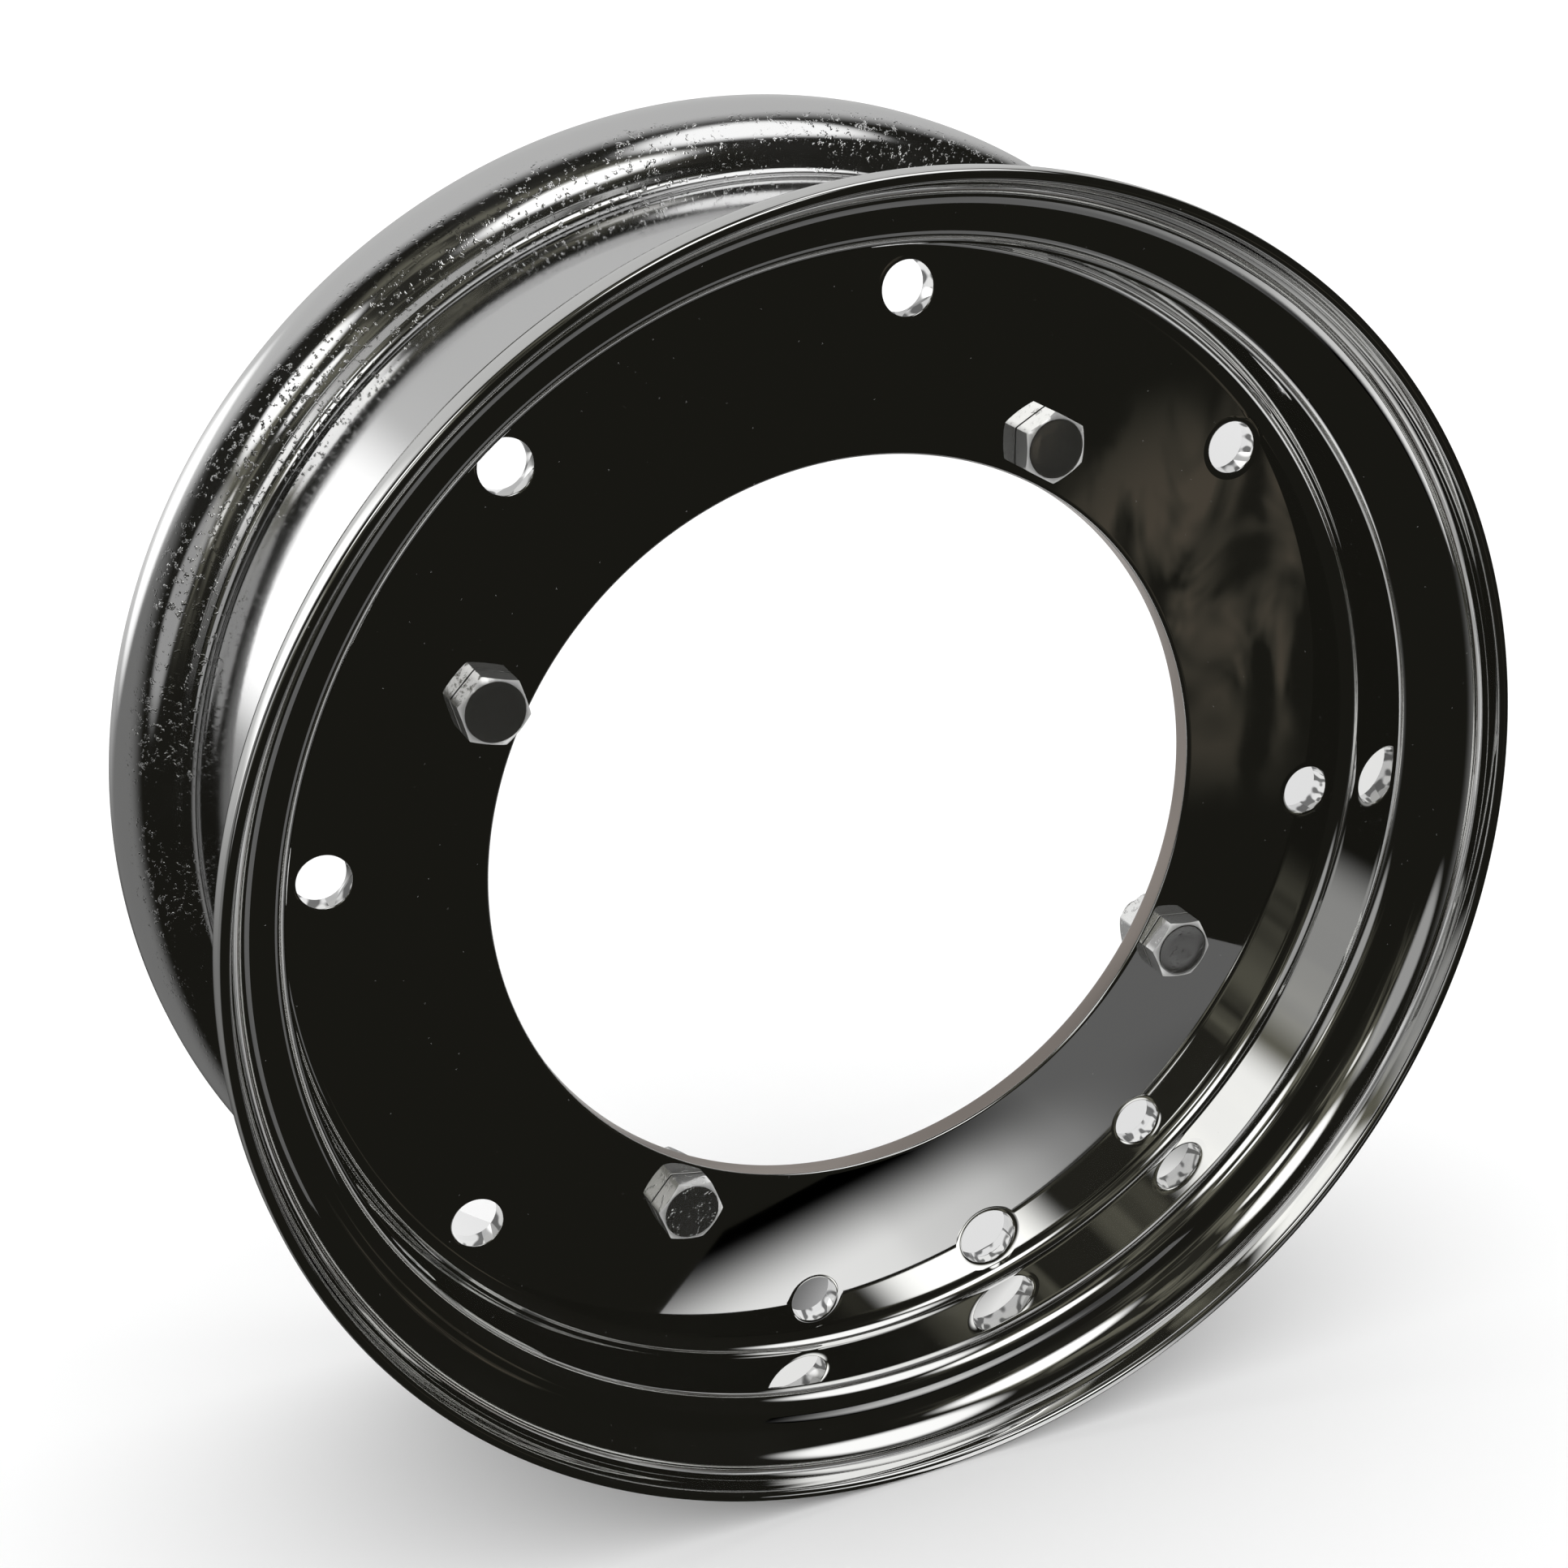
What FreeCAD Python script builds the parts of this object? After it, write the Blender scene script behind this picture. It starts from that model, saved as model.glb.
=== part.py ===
import FreeCAD, Part
import os

import Sketcher

# A split wheel rim for a 10 inch scooter tyre: two pressed steel halves, disc to disc,
# clamped by hexagon bolts and nuts. The wheel turns about Y, Z is up and the outer side
# faces -Y. The origin is the wheel's centre, midway between the two flange lips.

doc = FreeCAD.newDocument("scooter_rim")
sheet = doc.addObject("Spreadsheet::Sheet", "Sizes")

# Millimetres and degrees. Angles of holes are seen from the outer side, from +X towards +Z.
SIZES = [
    ("bead_dia", 254.0, "across a bead seat, in the corner by its flange"),
    ("flange_height", 14.0, "from the bead seat out to the flange's lip"),
    ("rim_width", 98.0, "from lip to lip"),
    ("sheet_gauge", 2.5, "thickness of the pressed sheet"),
    ("disc_recess", 34.0, "outer lip to the face of the disc"),
    ("flange_depth", 14.5, "lip to the ridge where the wall turns into the flange"),
    ("flange_flare", 10.0, "lean of the flange out of the wheel's plane"),
    ("wall_draft", 3.0, "taper of the wall under the bead"),
    ("foot_bend", 4.0, "inside radius, disc to wall"),
    ("bead_bend", 3.0, "inside radius, wall to flange"),
    ("lip_sweep", 0.75, "inside radius of the curl from flange to lip, over the flange height"),
    ("lip_round", 1.1, "rounding of the lip's edge"),
    ("hub_dia", 160.5, "centre hole"),
    ("hub_round", 0.6, "rounding of the centre hole's edge"),
    ("stud_margin", 14.0, "from the bead seat in to the circle of the wheel fixing holes"),
    ("stud_count", 8, "wheel fixing holes"),
    ("stud_dia", 11.0, "wheel fixing hole"),
    ("stud_start", 84.5, "angle of the first fixing hole"),
    ("valve_dia", 13.5, "valve hole, between two fixing holes"),
    ("clamp_margin", 8.5, "from the centre hole out to the circle of the clamp bolts"),
    ("clamp_count", 4, "clamp bolts"),
    ("clamp_dia", 8.6, "hole for a clamp bolt"),
    ("bolt_dia", 8.0, "clamp bolt"),
    ("bolt_length", 16.0, "clamp bolt, under its head"),
    ("bolt_point", 1.0, "bevel at the bolt's end"),
    ("head_flats", 13.0, "bolt head and nut, across the flats"),
    ("head_height", 5.3, "bolt head"),
    ("crown_dia", 12.2, "flat top of a head or nut, inside its bevel"),
    ("crown_bevel", 30.0, "slope of that bevel"),
    ("collar_dia", 11.6, "washer face under the head"),
    ("collar_height", 0.4, "washer face"),
    ("nut_height", 6.5, "nut"),
    ("thread_play", 0.1, "nut bore over bolt"),
]
for row, (alias, value, note) in enumerate(SIZES, start=1):
    sheet.set(f"A{row}", note)
    sheet.set(f"B{row}", str(value))
    sheet.setAlias(f"B{row}", alias)
doc.recompute()

# How far the four corners of a half's section stand apart, as expressions of the sheet.
GAUGE = "Sizes.sheet_gauge"
CURL = "Sizes.lip_sweep * Sizes.flange_height"
FLARE = "Sizes.flange_flare"
DRAFT = "Sizes.wall_draft"
LIP_R = f"(Sizes.bead_dia / 2 + Sizes.flange_height - {GAUGE})"
MITRE = f"({GAUGE} / (1 + sin({DRAFT} + {FLARE})))"
RIDGE_R = f"(Sizes.bead_dia / 2 - {MITRE} * (cos({DRAFT}) + sin({FLARE})))"
FLANGE_RUN = f"(({LIP_R} - {RIDGE_R}) * tan({FLARE}))"
OUTER_DISC = "(Sizes.disc_recess - Sizes.rim_width / 2)"
INNER_DISC = f"({OUTER_DISC} + 2 * {GAUGE})"
STUD_R = "(Sizes.bead_dia / 2 - Sizes.stud_margin)"
CLAMP_R = "(Sizes.hub_dia / 2 + Sizes.clamp_margin)"
STUD_STEP = "(360 / Sizes.stud_count)"
CLAMP_START = f"(Sizes.stud_start - {STUD_STEP} / 2)"
VALVE_ANGLE = f"(Sizes.stud_start - {STUD_STEP} * 7 / 2)"


def origin_plane(body, role):
    """One of a body's own base planes."""
    return next(f for f in body.Origin.OriginFeatures if f.Role == role)


def new_sketch(body, name, role):
    """An empty sketch on a base plane of the body."""
    sketch = body.newObject("Sketcher::SketchObject", name)
    sketch.AttachmentSupport = [(origin_plane(body, role), "")]
    sketch.MapMode = "FlatFace"
    return sketch


def place_point(sketch, geometry, point, across, along):
    """Tie a point of the sketch to two expressions, measured from the sketch's origin."""
    for kind, expression in (("DistanceX", across), ("DistanceY", along)):
        index = sketch.addConstraint(Sketcher.Constraint(kind, -1, 1, geometry, point, 1.0))
        sketch.setExpression(f"Constraints[{index}]", expression)


def section_sketch(body, corners):
    """A closed outline of straight lines whose corners follow (radius, axial) expressions."""
    sketch = new_sketch(body, f"{body.Label}_section", "XY_Plane")
    values = [[float(sheet.evalExpression(e)) for e in corner] for corner in corners]
    points = [FreeCAD.Vector(across, along, 0) for across, along in values]
    count = len(points)
    for i in range(count):
        sketch.addGeometry(Part.LineSegment(points[i], points[(i + 1) % count]), False)
    for i in range(count):
        sketch.addConstraint(Sketcher.Constraint("Coincident", i, 2, (i + 1) % count, 1))
    for i, (across, along) in enumerate(corners):
        place_point(sketch, i, 1, across, along)
    doc.recompute()
    return sketch


def round_ring(body, sketch, corner, radius):
    """Fillet the ring that one corner of the section has swept."""
    place = sketch.Geometry[corner].StartPoint
    base = body.Tip
    ring = [
        f"Edge{i}"
        for i, edge in enumerate(base.Shape.Edges, start=1)
        if isinstance(edge.Curve, Part.Circle)
        and abs(edge.Curve.Radius - place.x) < 1e-4
        and abs(edge.Curve.Center.y - place.y) < 1e-4
    ]
    fillet = body.newObject("PartDesign::Fillet", f"{body.Label}_round_{corner}")
    fillet.Base = (base, ring)
    fillet.setExpression("Radius", radius)
    doc.recompute()


def drill(body, name, radius, diameter, angle, count=None):
    """A hole through the disc on a bolt circle, repeated round the wheel where count is given."""
    sketch = new_sketch(body, f"{body.Label}_{name}_sketch", "XZ_Plane")
    sketch.addGeometry(Part.Circle(FreeCAD.Vector(0, 0, 0), FreeCAD.Vector(0, 0, 1), 1.0), False)
    size = sketch.addConstraint(Sketcher.Constraint("Diameter", 0, 2.0))
    sketch.setExpression(f"Constraints[{size}]", diameter)
    place_point(sketch, 0, 3, f"{radius} * cos({angle})", f"{radius} * sin({angle})")
    doc.recompute()
    solid = body.Tip.Shape.Volume
    hole = body.newObject("PartDesign::Pocket", f"{body.Label}_{name}")
    hole.Profile = sketch
    hole.SideType = "Symmetric"
    hole.Type = "ThroughAll"
    doc.recompute()
    if count:
        pattern = body.newObject("PartDesign::PolarPattern", f"{body.Label}_{name}_ring")
        pattern.Originals = [hole]
        pattern.Axis = (sketch, ["N_Axis"])
        pattern.Angle = 360
        pattern.setExpression("Occurrences", count)
        body.Tip = pattern
        doc.recompute()
    if not body.Tip.Shape.Volume < solid:
        raise RuntimeError(f"{body.Label}: {name} cut nothing")


def rim_half(label, disc, side):
    """One pressed half. disc is the face of its disc away from the joint, and side is '-' or '+',
    the way along Y in which its wall and flange stand."""
    body = doc.addObject("PartDesign::Body", label)
    body.Label = label
    hub = "Sizes.hub_dia / 2"
    ridge = f"({side} 1 * (Sizes.rim_width / 2 - Sizes.flange_depth))"
    lip = f"({side} 1 * Sizes.rim_width / 2)"
    lip_bend = f"({ridge} {side} {FLANGE_RUN})"
    foot_r = f"({RIDGE_R} - ({side} 1) * ({ridge} - {disc}) * tan({DRAFT}))"
    back = f"({disc} - ({side} 1) * {GAUGE})"
    corners = [
        (hub, disc),
        (foot_r, disc),
        (RIDGE_R, ridge),
        (LIP_R, lip_bend),
        (LIP_R, lip),
        (f"{LIP_R} + {GAUGE}", lip),
        (f"{LIP_R} + {GAUGE}", f"{lip_bend} - ({side} 1) * {GAUGE} * cos({FLARE}) / (1 + sin({FLARE}))"),
        ("Sizes.bead_dia / 2", f"{ridge} - ({side} 1) * {MITRE} * (sin({DRAFT}) + cos({FLARE}))"),
        (f"{foot_r} + {GAUGE} * cos({DRAFT}) / (1 + sin({DRAFT}))", back),
        (hub, back),
    ]
    section = section_sketch(body, corners)
    turned = body.newObject("PartDesign::Revolution", f"{label}_pressing")
    turned.Profile = section
    turned.ReferenceAxis = (section, ["V_Axis"])
    turned.Angle = 360
    doc.recompute()
    rounds = [
        (1, "Sizes.foot_bend"),
        (8, f"Sizes.foot_bend + {GAUGE}"),
        (2, f"Sizes.bead_bend + {GAUGE}"),
        (7, "Sizes.bead_bend"),
        (3, CURL),
        (6, f"{CURL} + {GAUGE}"),
        (4, "Sizes.lip_round"),
        (5, "Sizes.lip_round"),
        (0, "Sizes.hub_round"),
    ]
    for corner, radius in rounds:
        round_ring(body, section, corner, radius)
    drill(body, "stud_holes", STUD_R, "Sizes.stud_dia", "Sizes.stud_start", "Sizes.stud_count")
    drill(body, "clamp_holes", CLAMP_R, "Sizes.clamp_dia", CLAMP_START, "Sizes.clamp_count")
    drill(body, "valve_hole", STUD_R, "Sizes.valve_dia", VALVE_ANGLE)
    return body


def solid(kind, name, **sizes):
    """A plain solid whose sizes follow expressions. A lift moves it along its own axis."""
    piece = doc.addObject(kind, name)
    for size, expression in sizes.items():
        piece.setExpression("Placement.Base.z" if size == "lift" else size, expression)
    return piece


def joined(kind, name, pieces):
    """Solids fused or intersected into one."""
    piece = doc.addObject(kind, name)
    piece.Shapes = pieces
    return piece


def hexagon(name, height, lift):
    """A hexagon bar end, as wide as the spanner size."""
    bar = solid("Part::Prism", name, Circumradius="Sizes.head_flats / sqrt(3)", Height=height, lift=lift)
    bar.Polygon = 6
    return bar


def crown(name, height, lift, upwards):
    """The cone that bevels a hexagon's corners, narrowing towards its top or its foot."""
    top = "Sizes.crown_dia / 2"
    foot = f"{top} + {height} / tan(Sizes.crown_bevel)"
    first, last = (foot, top) if upwards else (top, foot)
    return solid("Part::Cone", name, Radius1=first, Radius2=last, Height=height, lift=lift)


def clamp_bolt():
    """Hexagon bolt: the bearing face is at z = 0, with the head above it."""
    collar = solid("Part::Cylinder", "bolt_collar", Radius="Sizes.collar_dia / 2", Height="Sizes.collar_height")
    height = "(Sizes.head_height - Sizes.collar_height)"
    lift = "Sizes.collar_height"
    head = joined("Part::MultiCommon", "bolt_head",
                  [hexagon("bolt_hexagon", height, lift), crown("bolt_crown", height, lift, True)])
    shank = solid("Part::Cylinder", "bolt_shank", Radius="Sizes.bolt_dia / 2",
                  Height="Sizes.bolt_length - Sizes.bolt_point", lift="Sizes.bolt_point - Sizes.bolt_length")
    point = solid("Part::Cone", "bolt_point_cone", Radius1="Sizes.bolt_dia / 2 - Sizes.bolt_point",
                  Radius2="Sizes.bolt_dia / 2", Height="Sizes.bolt_point", lift="-Sizes.bolt_length")
    return joined("Part::MultiFuse", "bolt", [head, collar, shank, point])


def clamp_nut():
    """Hexagon nut, bevelled on both faces: its bearing face is at z = 0 and it stands below that."""
    height = "Sizes.nut_height"
    lift = "-Sizes.nut_height"
    block = joined("Part::MultiCommon", "nut_block",
                   [hexagon("nut_hexagon", height, lift), crown("nut_crown", height, lift, True),
                    crown("nut_foot", height, lift, False)])
    bore = solid("Part::Cylinder", "nut_bore", Radius="(Sizes.bolt_dia + Sizes.thread_play) / 2",
                 Height=height, lift=lift)
    nut = doc.addObject("Part::Cut", "nut")
    nut.Base = block
    nut.Tool = bore
    return nut


def clamp_ring(label, fastener, seat, turns):
    """Copies of a fastener on the clamp circle, with their bearing faces at y = seat and their
    heads towards -Y. Each is turned about its own axis, as it came to rest when tightened."""
    copies = []
    for i in range(int(sheet.clamp_count)):
        copy = doc.addObject("App::Link", f"{label}_{i + 1}")
        copy.LinkedObject = fastener
        upright = FreeCAD.Rotation(FreeCAD.Vector(1, 0, 0), 90)
        turn = FreeCAD.Rotation(FreeCAD.Vector(0, 0, 1), turns[i % len(turns)])
        copy.Placement = FreeCAD.Placement(FreeCAD.Vector(), upright * turn)
        angle = f"({CLAMP_START} - {i} * 360 / Sizes.clamp_count)"
        copy.setExpression("Placement.Base.x", f"{CLAMP_R} * cos({angle})")
        copy.setExpression("Placement.Base.y", seat)
        copy.setExpression("Placement.Base.z", f"{CLAMP_R} * sin({angle})")
        copies.append(copy)
    ring = doc.addObject("Part::Compound", label)
    ring.Label = label
    ring.Links = copies
    return ring


HEAD_TURNS = [30.0, 54.0, 50.0, 46.0]
NUT_TURNS = [10.0, 38.0, 22.0, 51.0]

nodes = [
    rim_half("outer_rim_half", OUTER_DISC, "-"),
    rim_half("inner_rim_half", INNER_DISC, "+"),
    clamp_ring("clamp_bolts", clamp_bolt(), OUTER_DISC, HEAD_TURNS),
    clamp_ring("clamp_nuts", clamp_nut(), INNER_DISC, NUT_TURNS),
]
doc.recompute()

for item in doc.Objects:
    if "Invalid" in item.State or "Error" in item.State:
        raise RuntimeError(f"{item.Name} failed: {item.State}")
for node in nodes:
    if node.Shape.isNull() or not node.Shape.isValid():
        raise RuntimeError(f"{node.Label} has no valid shape")

os.makedirs("parts", exist_ok=True)
for node in nodes:
    node.Shape.exportStep(f"parts/{node.Label}.step")
    box = node.Shape.BoundBox
    print(f"{node.Label}: {len(node.Shape.Solids)} solids, {node.Shape.Volume / 1000:.2f} cm3, "
          f"X {box.XMin:.2f} {box.XMax:.2f} Y {box.YMin:.2f} {box.YMax:.2f} Z {box.ZMin:.2f} {box.ZMax:.2f}")
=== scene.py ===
import math

import bpy
from mathutils import Matrix, Vector


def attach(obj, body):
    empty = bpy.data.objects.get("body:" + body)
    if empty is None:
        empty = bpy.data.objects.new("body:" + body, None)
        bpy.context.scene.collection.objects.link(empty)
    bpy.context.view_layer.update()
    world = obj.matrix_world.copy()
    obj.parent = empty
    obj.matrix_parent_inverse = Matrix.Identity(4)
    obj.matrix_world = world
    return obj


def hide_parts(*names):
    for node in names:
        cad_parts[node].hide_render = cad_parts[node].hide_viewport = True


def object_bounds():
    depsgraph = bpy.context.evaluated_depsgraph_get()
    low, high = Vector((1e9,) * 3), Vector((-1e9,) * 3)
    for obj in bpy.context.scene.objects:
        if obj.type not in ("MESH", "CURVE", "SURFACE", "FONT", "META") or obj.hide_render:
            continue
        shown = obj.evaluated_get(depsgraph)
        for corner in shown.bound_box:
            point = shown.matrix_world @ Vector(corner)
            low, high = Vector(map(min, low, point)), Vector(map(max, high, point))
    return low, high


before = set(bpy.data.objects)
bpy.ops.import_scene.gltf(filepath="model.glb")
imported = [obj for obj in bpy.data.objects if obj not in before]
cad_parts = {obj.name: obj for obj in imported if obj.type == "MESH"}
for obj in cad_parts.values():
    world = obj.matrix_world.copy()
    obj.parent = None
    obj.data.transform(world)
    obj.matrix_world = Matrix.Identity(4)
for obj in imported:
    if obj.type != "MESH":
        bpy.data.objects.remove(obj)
cad_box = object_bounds()

# The outer half: a 2.5 mm steel sheet, pressed in one piece to a flat disc, a short wall and a
# flared flange with a curled lip. Its holes are punched, the edges are buffed round and the whole
# is bright chrome plated. The two discs lie face to face at y = -12.5 mm.
sheet = 0.0025
hub_radius = 0.08025
flange_radius = 0.141
bead_radius = 0.127
flange_depth = 0.0145
flare = math.radians(10.0)
draft = math.radians(3.0)
foot_bend = 0.004
hub_edge = 0.0012
sweep_radius = 0.1


def pressed_section(name, dish_depth):
    """The sheet's cut section as a closed outline: x is the radius less the sweep's radius, and
    y runs towards the joint. Each corner holds its bend radius and whether the tyre covers it."""
    curl = 0.75 * (flange_radius - bead_radius)
    mitre = sheet / (1.0 + math.sin(draft + flare))
    lip_radius = flange_radius - sheet
    lip = sheet + dish_depth
    ridge = lip - flange_depth
    ridge_radius = bead_radius - mitre * (math.cos(draft) + math.sin(flare))
    lip_start = ridge + (lip_radius - ridge_radius) * math.tan(flare)
    foot_radius = ridge_radius - (ridge - sheet) * math.tan(draft)
    flat_end = foot_radius - 1.05 * foot_bend
    lip_back = lip_start - sheet * math.cos(flare) / (1.0 + math.sin(flare))
    corners = [
        (hub_radius, sheet, 0.0006, 0),
        (hub_radius + hub_edge, sheet, 0.0, 0),
        (flat_end, sheet, 0.0, 0),
        (foot_radius, sheet, foot_bend, 0),
        (ridge_radius, ridge, 0.0055, 0),
        (lip_radius, lip_start, curl, 0),
        (lip_radius, lip, 0.0011, 0),
        (flange_radius, lip, 0.0011, 1),
        (flange_radius, lip_back, curl + sheet, 1),
        (bead_radius, ridge - mitre * (math.sin(draft) + math.cos(flare)), 0.003, 1),
        (foot_radius + sheet * math.cos(draft) / (1.0 + math.sin(draft)), 0.0, 0.0065, 1),
        (hub_radius, 0.0, 0.0, 0),
    ]
    mesh = bpy.data.meshes.new(name)
    points = [(radius - sweep_radius, -height, 0.0) for radius, height, bend, tyre in corners]
    mesh.from_pydata(points, [(i, (i + 1) % len(points)) for i in range(len(points))], [])
    bends = mesh.attributes.new("bend", "FLOAT", "POINT")
    tyre_side = mesh.attributes.new("tyre_side", "FLOAT", "POINT")
    for i, (radius, height, bend, tyre) in enumerate(corners):
        bends.data[i].value = bend
        tyre_side.data[i].value = tyre
    piece = bpy.data.objects.new(name, mesh)
    bpy.context.collection.objects.link(piece)
    return piece, flat_end


def node(tree, kind, inputs=None, **settings):
    """Add a node, give it its settings, and link or set the inputs named."""
    made = tree.nodes.new(kind)
    for key, value in settings.items():
        setattr(made, key, value)
    for key, value in (inputs or {}).items():
        if isinstance(value, bpy.types.NodeSocket):
            tree.links.new(value, made.inputs[key])
        else:
            made.inputs[key].default_value = value
    return made


def sums(tree, operation, *values):
    """One step of arithmetic in a node tree."""
    return node(tree, "ShaderNodeMath", dict(enumerate(values)), operation=operation).outputs[0]


punch_rings = 18
punch_reach = 0.006
end_ring = 0.03
roll_finish = 0.97
punch = bpy.data.node_groups.new("punch", "GeometryNodeTree")
for label in ("Hole Radius", "Edge Roll", "Roll Depth", "Sheet"):
    punch.interface.new_socket(label, in_out="INPUT", socket_type="NodeSocketFloat")
punch.interface.new_socket("Punch", in_out="OUTPUT", socket_type="NodeSocketGeometry")
size = punch.nodes.new("NodeGroupInput").outputs
bar = node(punch, "GeometryNodeMeshCylinder",
           {"Vertices": 96, "Side Segments": punch_rings, "Radius": 1.0, "Depth": 1.0}, fill_type="NGON")
place = node(punch, "ShaderNodeSeparateXYZ", {
    0: node(punch, "GeometryNodeInputPosition").outputs[0]}).outputs
height = sums(punch, "ADD", place["Z"], 0.5)
rise = sums(punch, "MINIMUM", 1.0, sums(punch, "MAXIMUM", 0.0, sums(
    punch, "DIVIDE", sums(punch, "SUBTRACT", height, 1.0 / punch_rings), (punch_rings - 2) / punch_rings)))
square = sums(punch, "MULTIPLY", rise, rise)
radius = sums(punch, "ADD", size["Hole Radius"], sums(punch, "MULTIPLY", size["Edge Roll"], square))
climb = sums(punch, "SUBTRACT", sums(punch, "MULTIPLY", rise, 2.0), sums(
    punch, "MULTIPLY", square, roll_finish))
level = sums(punch, "SUBTRACT", size["Sheet"], sums(
    punch, "MULTIPLY", size["Roll Depth"], sums(punch, "SUBTRACT", 1.0, climb)))
level = sums(punch, "ADD", level, sums(
    punch, "MULTIPLY", sums(punch, "GREATER_THAN", height, 1.0 - end_ring), punch_reach))
level = sums(punch, "SUBTRACT", level, sums(
    punch, "MULTIPLY", sums(punch, "LESS_THAN", height, end_ring), punch_reach))
turned = node(punch, "ShaderNodeCombineXYZ", {
    "X": sums(punch, "MULTIPLY", place["X"], radius),
    "Y": sums(punch, "MULTIPLY", place["Y"], radius), "Z": level})
shaped = node(punch, "GeometryNodeSetPosition", {
    "Geometry": bar.outputs["Mesh"], "Position": turned.outputs[0]})
punch.links.new(shaped.outputs[0], punch.nodes.new("NodeGroupOutput").inputs[0])

pressing = bpy.data.node_groups.new("pressed_half", "GeometryNodeTree")
pressing.interface.new_socket("Section", in_out="INPUT", socket_type="NodeSocketGeometry")
for label in ("Turn Steps", "Bend Steps per Metre"):
    pressing.interface.new_socket(label, in_out="INPUT", socket_type="NodeSocketInt")
for label in ("Sweep Radius", "Sheet", "Flat Start", "Flat End", "Hole Circle", "Stud Hole", "Stud Angle",
              "Valve Hole", "Valve Angle", "Clamp Circle", "Clamp Hole", "Clamp Angle", "Edge Roll",
              "Roll Depth", "Facing", "Joint"):
    pressing.interface.new_socket(label, in_out="INPUT", socket_type="NodeSocketFloat")
pressing.interface.new_socket("Plating", in_out="INPUT", socket_type="NodeSocketMaterial")
pressing.interface.new_socket("Half", in_out="OUTPUT", socket_type="NodeSocketGeometry")
given = pressing.nodes.new("NodeGroupInput").outputs

bend = node(pressing, "GeometryNodeInputNamedAttribute", {"Name": "bend"}, data_type="FLOAT")
least_steps = 8.0
bent = sums(pressing, "GREATER_THAN", bend.outputs["Attribute"], 0.0)
bend_steps = sums(pressing, "ADD", sums(pressing, "MULTIPLY", bent, least_steps), sums(
    pressing, "MULTIPLY", bend.outputs["Attribute"], given["Bend Steps per Metre"]))
outline = node(pressing, "GeometryNodeMeshToCurve", {"Mesh": given["Section"]})
rounded = node(pressing, "GeometryNodeFilletCurve", {
    "Curve": outline.outputs[0], "Count": bend_steps, "Radius": bend.outputs["Attribute"],
    "Limit Radius": False}, mode="POLY")
path = node(pressing, "GeometryNodeCurvePrimitiveCircle", {
    "Resolution": given["Turn Steps"], "Radius": given["Sweep Radius"]})
swept = node(pressing, "GeometryNodeCurveToMesh", {
    "Curve": path.outputs["Curve"], "Profile Curve": rounded.outputs[0]})

cutters = node(pressing, "GeometryNodeJoinGeometry")
for hole, circle, angle, count in (("Stud Hole", "Hole Circle", "Stud Angle", 8),
                                   ("Clamp Hole", "Clamp Circle", "Clamp Angle", 4),
                                   ("Valve Hole", "Hole Circle", "Valve Angle", 1)):
    tool = node(pressing, "GeometryNodeGroup", node_tree=punch)
    pressing.links.new(given[hole], tool.inputs["Hole Radius"])
    for label in ("Edge Roll", "Roll Depth", "Sheet"):
        pressing.links.new(given[label], tool.inputs[label])
    step = sums(pressing, "MULTIPLY", node(pressing, "GeometryNodeInputIndex").outputs[0], math.tau / count)
    around = sums(pressing, "ADD", step, given[angle])
    spot = node(pressing, "ShaderNodeCombineXYZ", {
        "X": sums(pressing, "MULTIPLY", sums(pressing, "COSINE", around), given[circle]),
        "Y": sums(pressing, "MULTIPLY", sums(pressing, "SINE", around), given[circle])})
    ring = node(pressing, "GeometryNodePoints", {"Count": count, "Position": spot.outputs[0]})
    copies = node(pressing, "GeometryNodeInstanceOnPoints", {
        "Points": ring.outputs[0], "Instance": tool.outputs[0]})
    pressing.links.new(copies.outputs[0], cutters.inputs[0])
tools = node(pressing, "GeometryNodeRealizeInstances", {0: cutters.outputs[0]})
pierced = node(pressing, "GeometryNodeMeshBoolean", {
    "Mesh 1": swept.outputs[0], "Mesh 2": tools.outputs[0]}, operation="DIFFERENCE", solver="MANIFOLD")

spot = node(pressing, "ShaderNodeSeparateXYZ", {
    0: node(pressing, "GeometryNodeInputPosition").outputs[0]}).outputs
away = sums(pressing, "SQRT", sums(pressing, "ADD", sums(pressing, "MULTIPLY", spot["X"], spot["X"]),
                                   sums(pressing, "MULTIPLY", spot["Y"], spot["Y"])))
facing = node(pressing, "ShaderNodeSeparateXYZ", {
    0: node(pressing, "GeometryNodeInputNormal").outputs[0]}).outputs
level = sums(pressing, "GREATER_THAN", sums(pressing, "ABSOLUTE", facing["Z"]), 0.9999995)
flat = sums(pressing, "MULTIPLY", level, sums(
    pressing, "MULTIPLY", sums(pressing, "GREATER_THAN", away, given["Flat Start"]),
    sums(pressing, "LESS_THAN", away, given["Flat End"])))
smooth = node(pressing, "GeometryNodeSetShadeSmooth", {
    "Geometry": pierced.outputs["Mesh"],
    "Shade Smooth": sums(pressing, "LESS_THAN", flat, 0.5)}, domain="FACE")
edge = node(pressing, "GeometryNodeInputMeshEdgeAngle")
creased = node(pressing, "GeometryNodeSetShadeSmooth", {
    "Geometry": smooth.outputs[0],
    "Shade Smooth": sums(
        pressing, "LESS_THAN", edge.outputs["Unsigned Angle"], math.radians(32.0))}, domain="EDGE")
turn = node(pressing, "ShaderNodeCombineXYZ", {"X": given["Facing"]})
shift = node(pressing, "ShaderNodeCombineXYZ", {"Y": given["Joint"]})
stood = node(pressing, "GeometryNodeTransform", {
    "Geometry": creased.outputs[0], "Rotation": turn.outputs[0], "Translation": shift.outputs[0]})
whole = node(pressing, "GeometryNodeRealizeInstances", {0: stood.outputs[0]})
plated = node(pressing, "GeometryNodeSetMaterial", {
    "Geometry": whole.outputs[0], "Material": given["Plating"]})
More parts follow.
